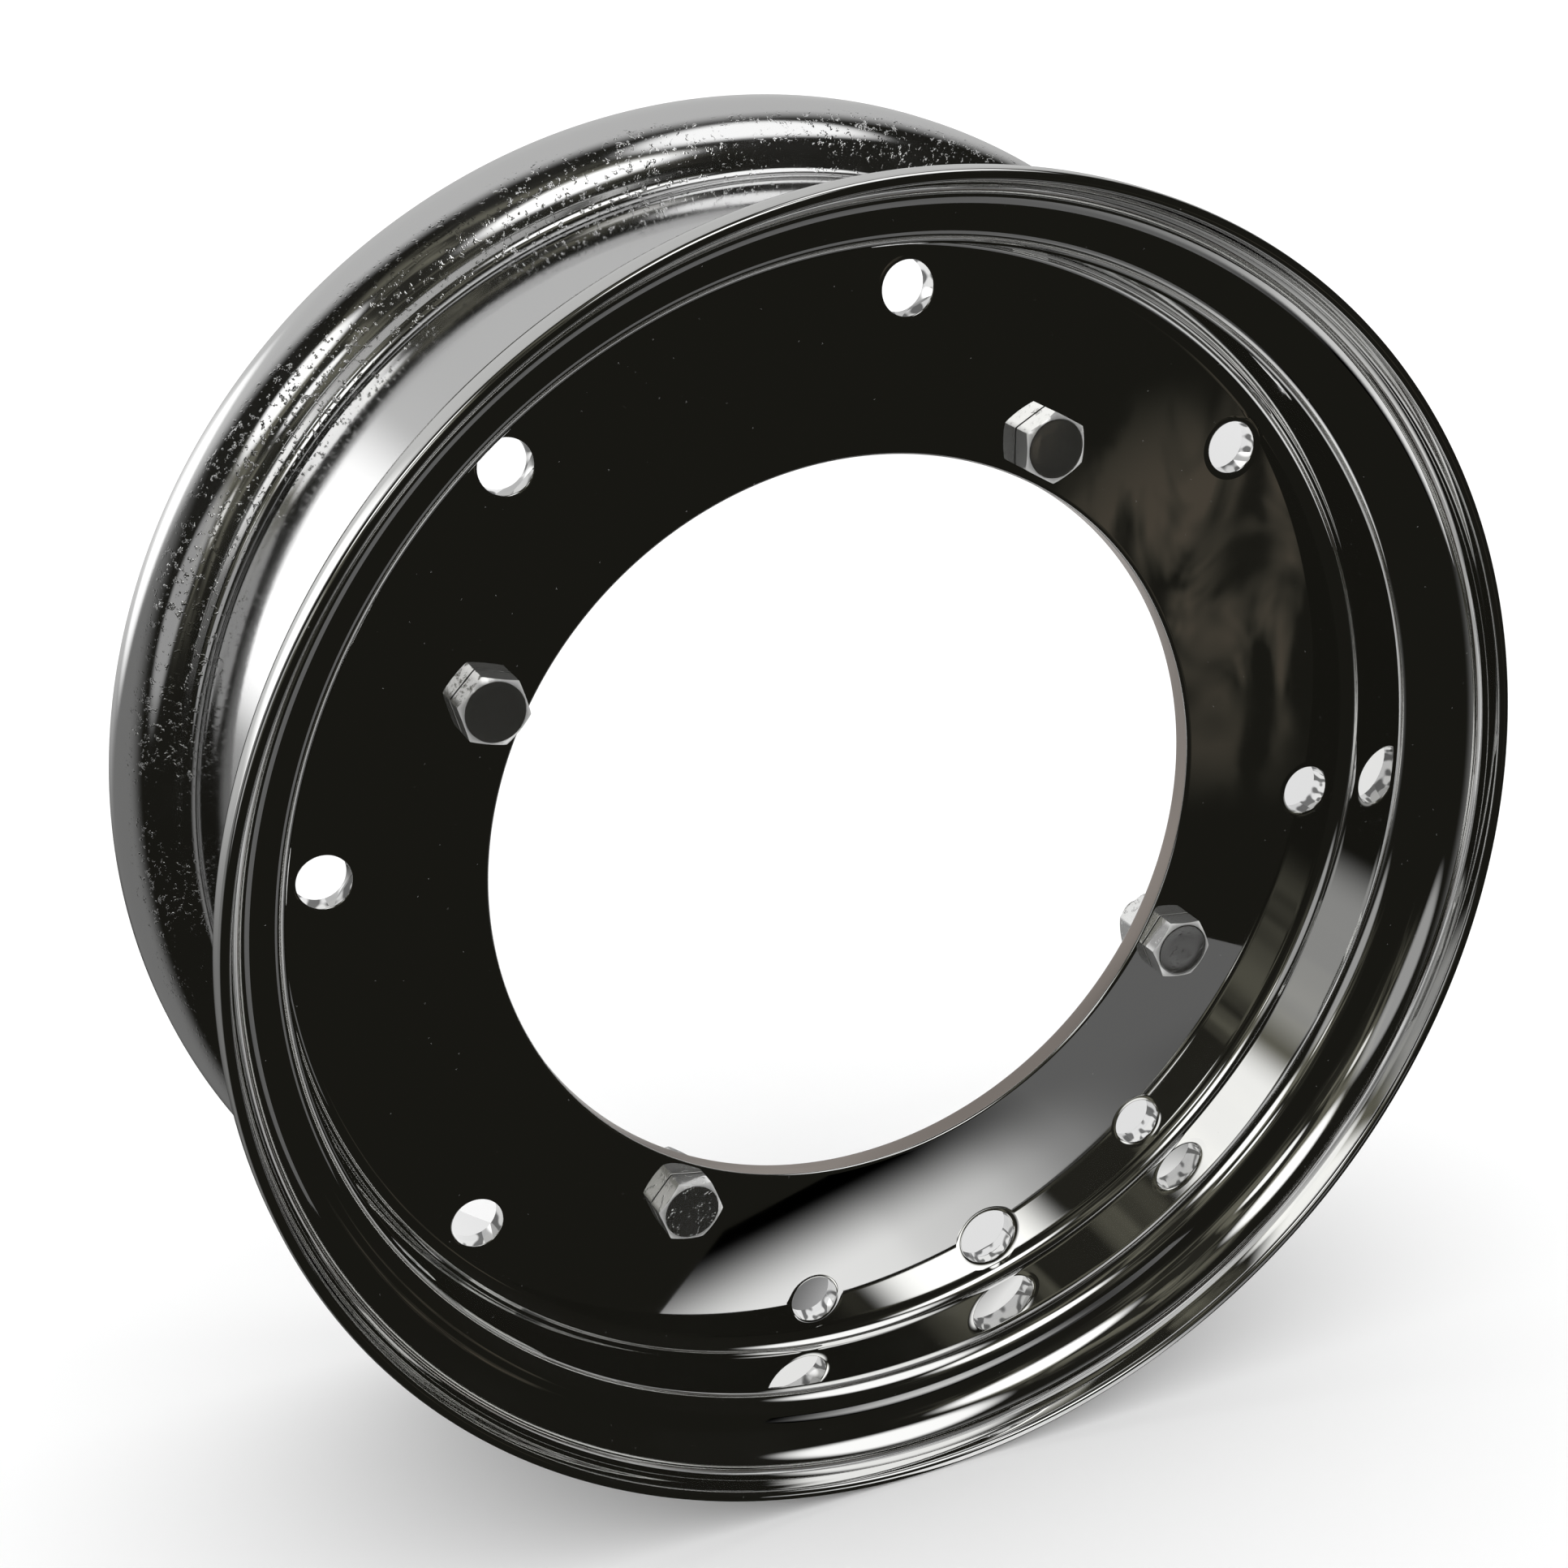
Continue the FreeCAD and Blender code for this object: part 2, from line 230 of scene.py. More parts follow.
pressing.links.new(plated.outputs[0], pressing.nodes.new("NodeGroupOutput").inputs[0])


def set_inputs(modifier, **values):
    """Give a modifier's named inputs their values, by socket identifier."""
    for item in modifier.node_group.interface.items_tree:
        key = item.name.lower().replace(" ", "_")
        if item.in_out == "INPUT" and key in values:
            modifier[item.identifier] = values[key]


def settle(piece):
    """Turn what the modifier makes into the piece's own plain mesh."""
    made = bpy.data.meshes.new_from_object(piece.evaluated_get(bpy.context.evaluated_depsgraph_get()))
    piece.modifiers.clear()
    piece.data = made


plating_wear = bpy.data.node_groups.new("plating_wear", "ShaderNodeTree")
for label in ("Ripple", "Grain", "Roughness Low", "Roughness High"):
    plating_wear.interface.new_socket(label, in_out="INPUT", socket_type="NodeSocketFloat")
plating_wear.interface.new_socket("Roughness", in_out="OUTPUT", socket_type="NodeSocketFloat")
plating_wear.interface.new_socket("Normal", in_out="OUTPUT", socket_type="NodeSocketVector")
plating_wear.interface.new_socket("Dust", in_out="OUTPUT", socket_type="NodeSocketFloat")
given = plating_wear.nodes.new("NodeGroupInput").outputs
where = node(plating_wear, "ShaderNodeTexCoord").outputs["Object"]
haze = node(plating_wear, "ShaderNodeTexNoise", {
    "Vector": where, "Scale": 38.0, "Detail": 4.0, "Roughness": 0.6})
spread = node(plating_wear, "ShaderNodeMapRange", {
    "Value": haze.outputs[0], "From Min": 0.38, "From Max": 0.72,
    "To Min": given["Roughness Low"], "To Max": given["Roughness High"]})
wave = node(plating_wear, "ShaderNodeTexNoise", {"Vector": where, "Scale": 22.0, "Detail": 1.0})
rippled = node(plating_wear, "ShaderNodeBump", {
    "Strength": given["Ripple"], "Distance": 0.0004, "Height": wave.outputs[0]})
pit = node(plating_wear, "ShaderNodeTexNoise", {
    "Vector": where, "Scale": 760.0, "Detail": 2.0, "Roughness": 0.7})
deep = node(plating_wear, "ShaderNodeMapRange", {"Value": pit.outputs[0], "From Min": 0.58, "From Max": 0.75})
patch = node(plating_wear, "ShaderNodeTexNoise", {"Vector": where, "Scale": 45.0, "Detail": 3.0})
worn = node(plating_wear, "ShaderNodeMapRange", {
    "Value": patch.outputs[0], "From Min": 0.42, "From Max": 0.58, "To Min": 0.15, "To Max": 1.0})
pits = node(plating_wear, "ShaderNodeBump", {
    "Strength": given["Grain"], "Distance": 0.0004, "Normal": rippled.outputs[0],
    "Height": sums(plating_wear, "MULTIPLY", deep.outputs[0], worn.outputs[0])})
fleck = node(plating_wear, "ShaderNodeTexVoronoi", {"Vector": where, "Scale": 260.0}, feature="F1")
specks = node(plating_wear, "ShaderNodeMapRange", {
    "Value": fleck.outputs["Distance"], "From Min": 0.02, "From Max": 0.05, "To Min": 1.0, "To Max": 0.0})
result = plating_wear.nodes.new("NodeGroupOutput").inputs
plating_wear.links.new(spread.outputs[0], result["Roughness"])
plating_wear.links.new(pits.outputs[0], result["Normal"])
plating_wear.links.new(specks.outputs[0], result["Dust"])

cut_edge = bpy.data.node_groups.new("cut_edge", "ShaderNodeTree")
cut_edge.interface.new_socket("Mask", in_out="OUTPUT", socket_type="NodeSocketFloat")
spot = node(cut_edge, "ShaderNodeSeparateXYZ", {
    0: node(cut_edge, "ShaderNodeTexCoord").outputs["Object"]}).outputs
away = sums(cut_edge, "SQRT", sums(cut_edge, "ADD", sums(cut_edge, "MULTIPLY", spot["X"], spot["X"]),
                                   sums(cut_edge, "MULTIPLY", spot["Z"], spot["Z"])))
lean = node(cut_edge, "ShaderNodeSeparateXYZ", {
    0: node(cut_edge, "ShaderNodeTexCoord").outputs["Normal"]}).outputs
steep = node(cut_edge, "ShaderNodeMapRange", {
    "Value": sums(cut_edge, "ABSOLUTE", lean["Y"]), "From Min": 0.15, "From Max": 0.45,
    "To Min": 1.0, "To Max": 0.0})
inside = sums(cut_edge, "LESS_THAN", away, hub_radius + 0.00125)
cut_edge.links.new(sums(cut_edge, "MULTIPLY", steep.outputs[0], inside),
                   cut_edge.nodes.new("NodeGroupOutput").inputs["Mask"])

outer_chrome = bpy.data.materials.new("outer_chrome")
outer_chrome.use_nodes = True
tree = outer_chrome.node_tree
shader = tree.nodes["Principled BSDF"]
wear = node(tree, "ShaderNodeGroup", node_tree=plating_wear)
for label, value in (("Ripple", 0.03), ("Grain", 0.0), ("Roughness Low", 0.015), ("Roughness High", 0.05)):
    wear.inputs[label].default_value = value
bare = node(tree, "ShaderNodeGroup", node_tree=cut_edge).outputs["Mask"]
tint = node(tree, "ShaderNodeMix", {"Factor": bare}, data_type="RGBA", blend_type="MIX")
tint.inputs[6].default_value = (0.80, 0.80, 0.79, 1.0)
tint.inputs[7].default_value = (0.30, 0.265, 0.24, 1.0)
tree.links.new(tint.outputs[2], shader.inputs["Base Color"])
clean = sums(tree, "SUBTRACT", 1.0, sums(tree, "MULTIPLY", wear.outputs["Dust"], 0.12))
tree.links.new(clean, shader.inputs["Metallic"])
rough = sums(tree, "ADD", wear.outputs["Roughness"], sums(tree, "MULTIPLY", bare, 0.32))
tree.links.new(rough, shader.inputs["Roughness"])
tree.links.new(wear.outputs["Normal"], shader.inputs["Normal"])

joint = -0.0125
clamp_circle = 0.08875
first_stud = math.radians(84.5)
half_step = math.radians(22.5)


def press_half(piece, flat_end, side, plating):
    """Press one half from its section and pierce it. Side is 1 for the outer half and -1 for the inner."""
    press = piece.modifiers.new("pressed_half", "NODES")
    press.node_group = pressing
    set_inputs(press, turn_steps=320, bend_steps_per_metre=3500, sweep_radius=sweep_radius, sheet=sheet,
               flat_start=hub_radius + hub_edge, flat_end=flat_end, hole_circle=0.113, stud_hole=0.0055,
               stud_angle=side * first_stud, valve_hole=0.00675,
               valve_angle=side * (first_stud - 7.0 * half_step), clamp_circle=clamp_circle,
               clamp_hole=0.0043, clamp_angle=side * (first_stud - half_step), edge_roll=0.0020,
               roll_depth=0.0003, facing=side * math.radians(90.0), joint=joint, plating=plating)
    settle(piece)


outer_dish = 0.034
outer_half, flat_end = pressed_section("outer_rim_half_chromed", outer_dish)
press_half(outer_half, flat_end, 1.0, outer_chrome)
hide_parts("outer_rim_half")
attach(outer_half, "root")

# The inner half: the same pressing with a deeper wall, facing the scooter. Its tyre side was
# plated but hardly polished, so the grain of the steel shows there through the chrome.
inner_chrome = bpy.data.materials.new("inner_chrome")
inner_chrome.use_nodes = True
tree = inner_chrome.node_tree
shader = tree.nodes["Principled BSDF"]
shader.inputs["Metallic"].default_value = 1.0
wear = node(tree, "ShaderNodeGroup", node_tree=plating_wear)
for label, value in (("Ripple", 0.04), ("Roughness Low", 0.03), ("Roughness High", 0.09)):
    wear.inputs[label].default_value = value
covered = node(tree, "ShaderNodeAttribute", attribute_name="tyre_side").outputs["Fac"]
lean = node(tree, "ShaderNodeSeparateXYZ", {0: node(tree, "ShaderNodeTexCoord").outputs["Normal"]}).outputs
face = node(tree, "ShaderNodeMapRange", {
    "Value": sums(tree, "ABSOLUTE", lean["Y"]), "From Min": 0.35, "From Max": 0.6,
    "To Min": 0.01, "To Max": 0.45})
tree.links.new(sums(tree, "MULTIPLY", covered, face.outputs[0]), wear.inputs["Grain"])
bare = node(tree, "ShaderNodeGroup", node_tree=cut_edge).outputs["Mask"]
tint = node(tree, "ShaderNodeMix", {"Factor": bare}, data_type="RGBA", blend_type="MIX")
tint.inputs[6].default_value = (0.77, 0.77, 0.77, 1.0)
tint.inputs[7].default_value = (0.30, 0.265, 0.24, 1.0)
tree.links.new(tint.outputs[2], shader.inputs["Base Color"])
rough = sums(tree, "ADD", wear.outputs["Roughness"], sums(tree, "MULTIPLY", bare, 0.32))
rough = sums(tree, "ADD", rough, sums(tree, "MULTIPLY", covered, 0.03))
tree.links.new(rough, shader.inputs["Roughness"])
tree.links.new(wear.outputs["Normal"], shader.inputs["Normal"])

inner_dish = 0.059
inner_half, flat_end = pressed_section("inner_rim_half_chromed", inner_dish)
press_half(inner_half, flat_end, -1.0, inner_chrome)
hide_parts("inner_rim_half")
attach(inner_half, "root")

# The clamp bolts: four M8 hexagon bolts of bright plated steel, pushed through both discs from
# the outer side. Each came to rest at its own angle when its nut was tightened.
half_flats = 0.0065
corner_wear = 90


def hexagon_radius(angle):
    """Distance from the axis to the hexagon's side, with its corners worn a little round."""
    sides = [max(0.0, math.cos(angle - math.radians(30.0 + 60.0 * k))) for k in range(6)]
    return half_flats / sum(side ** corner_wear for side in sides) ** (1.0 / corner_wear)


def turned_mesh(name, rings, steps):
    """A mesh of rings about Z. Each ring gives a radius and a height for an angle."""
    mesh = bpy.data.meshes.new(name)
    points = []
    for ring in rings:
        for i in range(steps):
            angle = math.tau * i / steps
            radius, level = ring(angle)
            points.append((radius * math.cos(angle), radius * math.sin(angle), level))
    faces = []
    for k in range(len(rings) - 1):
        for i in range(steps):
            j = (i + 1) % steps
            faces.append((k * steps + i, k * steps + j, (k + 1) * steps + j, (k + 1) * steps + i))
    mesh.from_pydata(points, [], faces)
    return mesh


crown = 0.0061
slope = math.tan(math.radians(30.0))
head_top = 0.0053
pitch = 0.00125
thread_radius = 0.00398
thread_depth = 0.0007
thread_step = 0.00012
point_radius = 0.0030
bolt_reach = 0.016
break_edge = 0.00012
washer_radius = 0.0058
washer_height = 0.00015
tiny = 0.00001


def plain_ring(radius, level):
    """A round ring, the same at every angle."""
    return lambda angle: (radius, level)


def side_ring(level, top, inset=0.0):
    """A ring on the hexagon's side, kept under the bevelled crown."""
    def ring(angle):
        radius = hexagon_radius(angle) - inset
        return radius, min(level, top - max(0.0, radius - crown) * slope)
    return ring


def thread_ring(level):
    """A ring of the thread: a ridge that climbs one pitch in a turn and runs out at the point."""
    def ring(angle):
        phase = (level / pitch + angle / math.tau) % 1.0
        ridge = abs(2.0 * phase - 1.0)
        full = thread_radius - thread_depth * min(1.0, max(0.0, 1.2 * ridge - 0.1))
        return min(full, point_radius + max(0.0, level + bolt_reach)), level
    return ring


rings = [plain_ring(tiny, head_top - 0.00006), plain_ring(0.0035, head_top - 0.00005),
         plain_ring(crown - 0.0004, head_top - 0.00002), plain_ring(crown - 0.0001, head_top),
         plain_ring(crown, head_top - 0.00003), side_ring(head_top, head_top, break_edge),
         side_ring(head_top - break_edge, head_top), side_ring(0.0029, head_top),
         side_ring(0.00030, head_top), side_ring(0.00020, head_top, 0.00010),
         plain_ring(washer_radius + 0.0001, washer_height + 0.00003),
         plain_ring(washer_radius, washer_height), plain_ring(washer_radius, tiny),
         plain_ring(0.0041, tiny)]
rings += [thread_ring(-thread_step * k) for k in range(int(bolt_reach / thread_step) + 1)]
rings += [plain_ring(tiny, -bolt_reach)]
bolt_mesh = turned_mesh("clamp_bolts_plated", rings, 72)

clamping = bpy.data.node_groups.new("clamp_set", "GeometryNodeTree")
clamping.interface.new_socket("Fastener", in_out="INPUT", socket_type="NodeSocketGeometry")
clamping.interface.new_socket("Count", in_out="INPUT", socket_type="NodeSocketInt")
for label in ("Circle", "First Angle", "Seat", "Turn One", "Turn Two", "Turn Three", "Turn Four"):
    clamping.interface.new_socket(label, in_out="INPUT", socket_type="NodeSocketFloat")
clamping.interface.new_socket("Plating", in_out="INPUT", socket_type="NodeSocketMaterial")
clamping.interface.new_socket("Set", in_out="OUTPUT", socket_type="NodeSocketGeometry")
given = clamping.nodes.new("NodeGroupInput").outputs
index = node(clamping, "GeometryNodeInputIndex").outputs[0]
around = sums(clamping, "SUBTRACT", given["First Angle"], sums(
    clamping, "DIVIDE", sums(clamping, "MULTIPLY", index, math.tau), given["Count"]))
spot = node(clamping, "ShaderNodeCombineXYZ", {
    "X": sums(clamping, "MULTIPLY", sums(clamping, "COSINE", around), given["Circle"]),
    "Y": sums(clamping, "MULTIPLY", sums(clamping, "SINE", around), given["Circle"])})
ring = node(clamping, "GeometryNodePoints", {"Count": given["Count"], "Position": spot.outputs[0]})
own_turn = node(clamping, "GeometryNodeIndexSwitch", {"Index": index}, data_type="FLOAT")
own_turn.index_switch_items.new()
own_turn.index_switch_items.new()
for k, label in enumerate(("Turn One", "Turn Two", "Turn Three", "Turn Four")):
    clamping.links.new(given[label], own_turn.inputs[k + 1])
turn = node(clamping, "ShaderNodeCombineXYZ", {"Z": own_turn.outputs[0]})
copies = node(clamping, "GeometryNodeInstanceOnPoints", {
    "Points": ring.outputs[0], "Instance": given["Fastener"], "Rotation": turn.outputs[0]})
stood = node(clamping, "GeometryNodeTransform", {
    "Geometry": copies.outputs[0], "Rotation": (math.radians(90.0), 0.0, 0.0),
    "Translation": node(clamping, "ShaderNodeCombineXYZ", {"Y": given["Seat"]}).outputs[0]})
real = node(clamping, "GeometryNodeRealizeInstances", {0: stood.outputs[0]})
smooth = node(clamping, "GeometryNodeSetShadeSmooth", {"Geometry": real.outputs[0]}, domain="FACE")
edge = node(clamping, "GeometryNodeInputMeshEdgeAngle")
creased = node(clamping, "GeometryNodeSetShadeSmooth", {
    "Geometry": smooth.outputs[0],
    "Shade Smooth": sums(
        clamping, "LESS_THAN", edge.outputs["Unsigned Angle"], math.radians(24.0))}, domain="EDGE")
plated = node(clamping, "GeometryNodeSetMaterial", {
    "Geometry": creased.outputs[0], "Material": given["Plating"]})
clamping.links.new(plated.outputs[0], clamping.nodes.new("NodeGroupOutput").inputs[0])

bolt_plating = bpy.data.materials.new("bolt_plating")
bolt_plating.use_nodes = True
tree = bolt_plating.node_tree
shader = tree.nodes["Principled BSDF"]
shader.inputs["Base Color"].default_value = (0.80, 0.80, 0.79, 1.0)
lean = node(tree, "ShaderNodeSeparateXYZ", {0: node(tree, "ShaderNodeTexCoord").outputs["Normal"]}).outputs
upright = sums(tree, "ABSOLUTE", lean["Y"])
# Painted light: the metal share follows which way each face looks. The hexagon sides and the bevelled crown
# take the even white light as a painted lighter shade, and the flat tops stay a dark mirror.
painted_light_sides = node(tree, "ShaderNodeMapRange", {
    "Value": upright, "From Min": 0.55, "From Max": 0.80, "To Min": 0.80, "To Max": 0.50}).outputs[0]
painted_dark_tops = node(tree, "ShaderNodeMapRange", {
    "Value": upright, "From Min": 0.88, "From Max": 0.96, "To Min": 0.0, "To Max": 0.485}).outputs[0]
tree.links.new(sums(tree, "ADD", painted_light_sides, painted_dark_tops), shader.inputs["Metallic"])
wear = node(tree, "ShaderNodeGroup", node_tree=plating_wear)
for label, value in (("Ripple", 0.30), ("Grain", 0.25), ("Roughness Low", 0.08), ("Roughness High", 0.18)):
    wear.inputs[label].default_value = value
tree.links.new(wear.outputs["Roughness"], shader.inputs["Roughness"])
tree.links.new(wear.outputs["Normal"], shader.inputs["Normal"])

bolts = bpy.data.objects.new("clamp_bolts_plated", bolt_mesh)
bpy.context.collection.objects.link(bolts)
tighten = bolts.modifiers.new("clamp_set", "NODES")
tighten.node_group = clamping
set_inputs(tighten, count=4, circle=clamp_circle, first_angle=first_stud - half_step, seat=joint - sheet,
           turn_one=math.radians(30.0), turn_two=math.radians(54.0), turn_three=math.radians(50.0),
           turn_four=math.radians(46.0), plating=bolt_plating)
settle(bolts)
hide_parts("clamp_bolts")
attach(bolts, "root")

# The clamp nuts: plain hexagon nuts of the same plated steel, screwed on the bolts' inner ends and
# bevelled on both faces.
nut_foot = -0.0065
nut_bore = 0.00405
nut_mouth = 0.0047
mouth_depth = 0.0006


def nut_ring(level, inset=0.0):
    """A ring on the nut's side, kept inside the bevels of both faces."""
    def ring(angle):
        radius = hexagon_radius(angle) - inset
        drop = max(0.0, radius - crown) * slope
        return radius, max(nut_foot + drop, min(level, -drop))
    return ring


rings = [plain_ring(nut_bore, -mouth_depth), plain_ring(0.0045, -break_edge), plain_ring(nut_mouth, 0.0),
         plain_ring(crown - 0.0001, 0.0), plain_ring(crown, -0.00003), nut_ring(0.0, break_edge),
         nut_ring(-break_edge), nut_ring(-0.0032), nut_ring(nut_foot + break_edge),
         nut_ring(nut_foot, break_edge), plain_ring(crown, nut_foot + 0.00003),
         plain_ring(crown - 0.0001, nut_foot), plain_ring(nut_mouth, nut_foot),
         plain_ring(0.0045, nut_foot + break_edge), plain_ring(nut_bore, nut_foot + mouth_depth),
         plain_ring(nut_bore, -mouth_depth)]
nut_mesh = turned_mesh("clamp_nuts_plated", rings, 72)
nuts = bpy.data.objects.new("clamp_nuts_plated", nut_mesh)
bpy.context.collection.objects.link(nuts)
# The nuts carry the same painted light as the bolts: sides and bevels painted lighter, flat faces darker, by
# which way each face looks.
nut_plating = bolt_plating.copy()
nut_plating.name = "nut_plating"
tighten = nuts.modifiers.new("clamp_set", "NODES")
tighten.node_group = clamping
set_inputs(tighten, count=4, circle=clamp_circle, first_angle=first_stud - half_step, seat=joint + sheet,
           turn_one=math.radians(10.0), turn_two=math.radians(38.0), turn_three=math.radians(22.0),
           turn_four=math.radians(51.0), plating=nut_plating)
settle(nuts)
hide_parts("clamp_nuts")
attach(nuts, "root")

# The studio: a plain pale floor that the rim stands on, under even white light. The chrome mirrors
# a dark room instead, with a pale wall behind the rim, soft lamps, a white sheet on the floor to
# its right and a creased white card behind the holes.
floor_mesh = bpy.data.meshes.new("floor")
floor_mesh.from_pydata([(-6, -6, 0), (6, -6, 0), (6, 6, 0), (-6, 6, 0)], [], [(0, 1, 2, 3)])
floor = bpy.data.objects.new("floor", floor_mesh)
floor.location.z = cad_box[0][2]
bpy.context.collection.objects.link(floor)
floor_paint = bpy.data.materials.new("floor_paint")
floor_paint.use_nodes = True
floor_paint.node_tree.nodes["Principled BSDF"].inputs["Base Color"].default_value = (0.92, 0.92, 0.92, 1.0)
floor_paint.node_tree.nodes["Principled BSDF"].inputs["Roughness"].default_value = 0.9
floor_mesh.materials.append(floor_paint)
floor.visible_glossy = False

sky = bpy.data.worlds.new("studio_room")
bpy.context.scene.world = sky
sky.use_nodes = True
tree = sky.node_tree
toward = node(tree, "ShaderNodeTexCoord").outputs["Generated"]


def lamp_glow(direction, core, rim, strength):
    """A soft round lamp far away: full inside its core and gone at its rim, as cosines."""
    near = node(tree, "ShaderNodeVectorMath", {
        0: toward, 1: Vector(direction).normalized()}, operation="DOT_PRODUCT").outputs["Value"]
    return node(tree, "ShaderNodeMapRange", {
        "Value": near, "From Min": rim, "From Max": core, "To Min": 0.0, "To Max": strength},
        interpolation_type="SMOOTHSTEP").outputs[0]


lamps = lamp_glow((0.0, 0.80, 0.60), 0.75, 0.45, 0.55)
for lamp in (((-0.55, 0.82, 0.13), 0.985, 0.94, 0.8), ((-0.70, 0.60, -0.30), 0.90, 0.55, 0.18),
             ((0.10, -0.80, 0.59), 0.996, 0.972, 1.6), ((-0.60, -0.77, 0.20), 0.9996, 0.998, 0.8),
             ((-0.60, -0.57, 0.56), 0.992, 0.972, 1.3), ((-0.80, -0.50, 0.12), 0.985, 0.955, 0.35),
             ((0.39, -0.38, 0.84), 0.985, 0.95, 1.2), ((-0.31, -0.905, 0.294), 0.9985, 0.995, 1.2)):
    lamps = sums(tree, "ADD", lamps, lamp_glow(*lamp))
clutter = node(tree, "ShaderNodeTexNoise", {"Vector": toward, "Scale": 4.5, "Detail": 3.0, "Distortion": 0.6})
panes = node(tree, "ShaderNodeMapRange", {
    "Value": clutter.outputs[0], "From Min": 0.47, "From Max": 0.60, "To Min": 0.01, "To Max": 0.14})
window = lamp_glow((-0.30, -0.80, 0.50), 0.93, 0.75, 1.0)
hung = node(tree, "ShaderNodeVectorMath", {0: toward, 1: (1.0, 1.0, 0.35)}, operation="MULTIPLY").outputs[0]
cloth = node(tree, "ShaderNodeTexNoise", {"Vector": hung, "Scale": 34.0, "Detail": 3.0, "Distortion": 0.9})
folds = node(tree, "ShaderNodeMapRange", {
    "Value": cloth.outputs[0], "From Min": 0.46, "From Max": 0.58, "To Min": 0.0, "To Max": 1.0})
draped = sums(tree, "MULTIPLY", folds.outputs[0], lamp_glow((0.525, -0.79, -0.315), 0.9995, 0.9965, 1.0))
gloom = sums(tree, "ADD", 0.011, sums(tree, "MULTIPLY", draped, 0.06))
gloom = sums(tree, "ADD", gloom, sums(tree, "MULTIPLY", window, panes.outputs[0]))
mirrored = node(tree, "ShaderNodeLightPath").outputs["Is Glossy Ray"]
seen = node(tree, "ShaderNodeMix", {"Factor": mirrored, "A": 1.28, "B": lamps}, data_type="FLOAT")
tree.nodes["Background"].inputs["Color"].default_value = (1.0, 1.0, 1.0, 1.0)
tree.links.new(seen.outputs[0], tree.nodes["Background"].inputs["Strength"])
tint = node(tree, "ShaderNodeMix", {"Factor": draped}, data_type="RGBA", blend_type="MIX")
tint.inputs[6].default_value = (1.0, 0.97, 0.76, 1.0)
tint.inputs[7].default_value = (1.0, 0.84, 0.64, 1.0)
dark = node(tree, "ShaderNodeBackground", {
    "Color": tint.outputs[2], "Strength": sums(tree, "MULTIPLY", mirrored, gloom)})
both = node(tree, "ShaderNodeAddShader", {0: tree.nodes["Background"].outputs[0], 1: dark.outputs[0]})
tree.links.new(both.outputs[0], tree.nodes["World Output"].inputs["Surface"])

sheet_mesh = bpy.data.meshes.new("white_sheet")
sheet_outline = [(-0.034, -0.062, 0), (0.0, -0.095, 0), (0.035, -0.108, 0), (0.195, -0.200, 0),
                 (0.215, -0.170, 0), (0.129, -0.090, 0), (0.070, -0.050, 0), (0.010, -0.050, 0)]
sheet_mesh.from_pydata(sheet_outline, [], [tuple(range(len(sheet_outline)))])
white_sheet = bpy.data.objects.new("white_sheet", sheet_mesh)
white_sheet.location.z = cad_box[0][2] - 0.002
bpy.context.collection.objects.link(white_sheet)
sheet_glow = bpy.data.materials.new("sheet_glow")
sheet_glow.use_nodes = True
tree = sheet_glow.node_tree
tree.nodes.remove(tree.nodes["Principled BSDF"])
spot = node(tree, "ShaderNodeSeparateXYZ", {0: node(tree, "ShaderNodeTexCoord").outputs["Object"]}).outputs
inward = sums(tree, "ADD", sums(tree, "MULTIPLY", spot["X"], 0.33), sums(tree, "MULTIPLY", spot["Y"], 0.944))
soft = node(tree, "ShaderNodeMapRange", {
    "Value": inward, "From Min": -0.085, "From Max": -0.055}, interpolation_type="SMOOTHSTEP").outputs[0]
fade = node(tree, "ShaderNodeFloatCurve", {"Value": sums(tree, "DIVIDE", spot["X"], 0.22)})
curve = fade.mapping.curves[0]
curve.points[0].location = (0.0, 0.92)
curve.points[1].location = (1.0, 0.0)
for step, strength in ((0.14, 0.90), (0.20, 0.76), (0.29, 0.66), (0.38, 0.38), (0.48, 0.12), (0.60, 0.0)):
    curve.points.new(step, strength)
far = node(tree, "ShaderNodeMapRange", {
    "Value": spot["X"], "From Min": 0.06, "From Max": 0.105, "To Max": 0.13}).outputs[0]
lit = node(tree, "ShaderNodeEmission", {
    "Strength": sums(tree, "ADD", far, sums(tree, "MULTIPLY", soft, fade.outputs[0]))})
tree.links.new(lit.outputs[0], tree.nodes["Material Output"].inputs["Surface"])
sheet_mesh.materials.append(sheet_glow)
white_sheet.visible_camera = False
white_sheet.visible_diffuse = False
white_sheet.visible_shadow = False

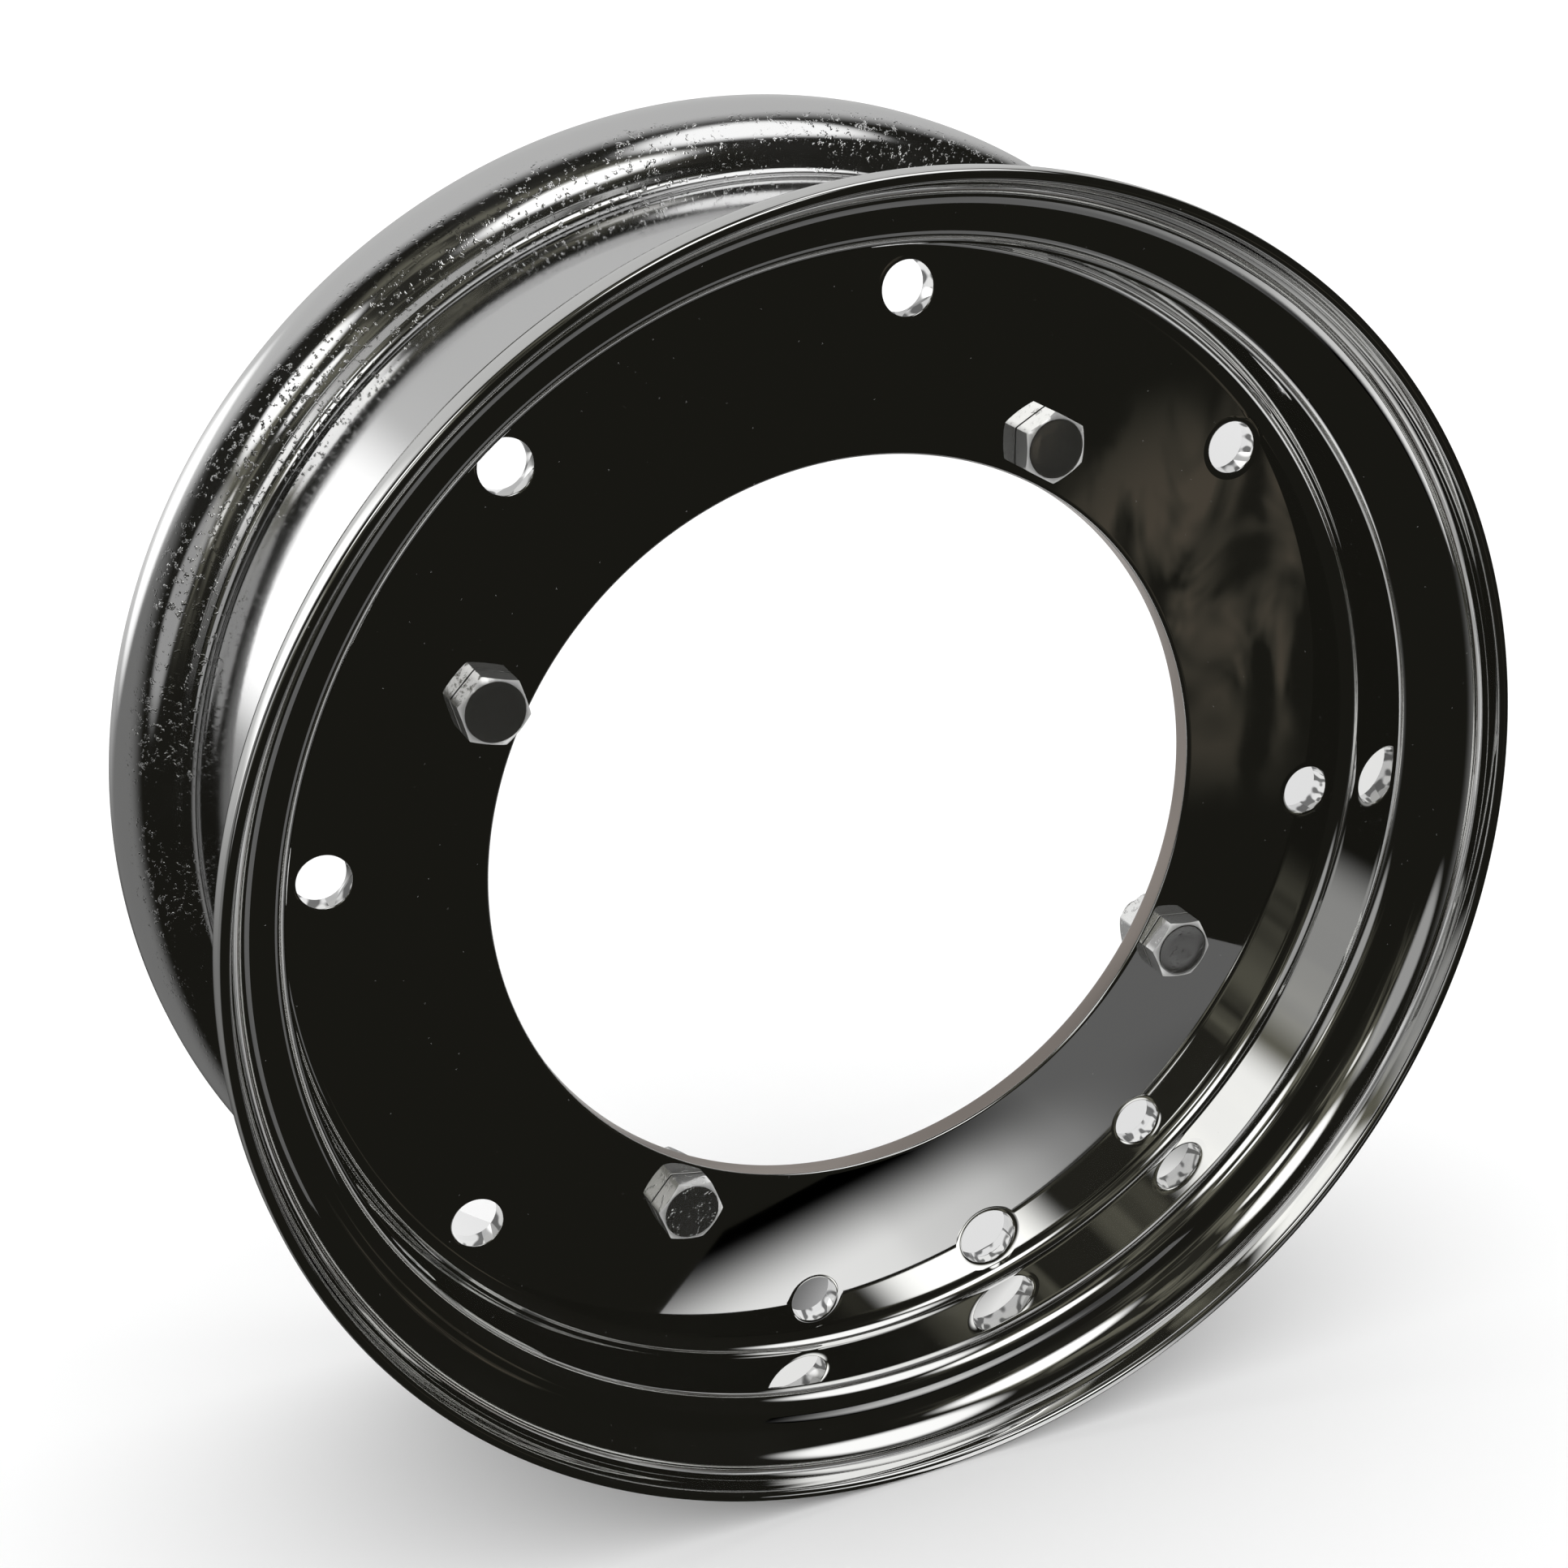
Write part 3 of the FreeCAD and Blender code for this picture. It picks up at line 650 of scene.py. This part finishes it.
card_mesh = bpy.data.meshes.new("white_card")
card_mesh.from_pydata([(-0.10, 0, -0.135), (0.20, 0, -0.135), (0.20, 0, 0.10), (-0.10, 0, 0.10)],
                      [], [(0, 1, 2, 3)])
white_card = bpy.data.objects.new("white_card", card_mesh)
white_card.location = (0.0, 0.10, 0.0)
bpy.context.collection.objects.link(white_card)
card_glow = bpy.data.materials.new("card_glow")
card_glow.use_nodes = True
tree = card_glow.node_tree
tree.nodes.remove(tree.nodes["Principled BSDF"])
crease = node(tree, "ShaderNodeTexNoise", {
    "Vector": node(tree, "ShaderNodeTexCoord").outputs["Object"], "Scale": 18.0, "Detail": 0.0})
shade = node(tree, "ShaderNodeMapRange", {
    "Value": crease.outputs[0], "From Min": 0.42, "From Max": 0.52, "To Min": 0.20, "To Max": 0.95})
lit = node(tree, "ShaderNodeEmission", {"Strength": shade.outputs[0]})
tree.links.new(lit.outputs[0], tree.nodes["Material Output"].inputs["Surface"])
card_mesh.materials.append(card_glow)
white_card.visible_camera = False
white_card.visible_diffuse = False
white_card.visible_shadow = False

# The camera stands close to the wheel, to the left of its axis, and looks down on it. Its place
# and its lens were fitted to the holes, the bolts and the rim's edges.
photo_width = 1932.0
focal_length = 3275.0
distance = 0.5546
aim_right = 0.0009
aim_down = 0.0063
azimuth = math.radians(-25.57)
elevation = math.radians(24.35)
back = Vector((math.sin(azimuth) * math.cos(elevation), -math.cos(azimuth) * math.cos(elevation),
               math.sin(elevation)))
right = Vector((math.cos(azimuth), math.sin(azimuth), 0.0))
up = back.cross(right)
lens = bpy.data.cameras.new("camera")
lens.sensor_width = 36.0
lens.lens = focal_length / photo_width * lens.sensor_width
lens.shift_x = -0.05
lens.shift_y = 0.05
lens.clip_start = 0.01
camera = bpy.data.objects.new("camera", lens)
aim = Vector((0.0, joint - sheet, 0.0)) + aim_right * right - aim_down * up
eye = aim + distance * back
camera.matrix_world = Matrix.Translation(eye) @ Matrix((right, up, back)).transposed().to_4x4()
bpy.context.collection.objects.link(camera)
bpy.context.scene.camera = camera
bpy.context.scene.view_settings.view_transform = "Standard"
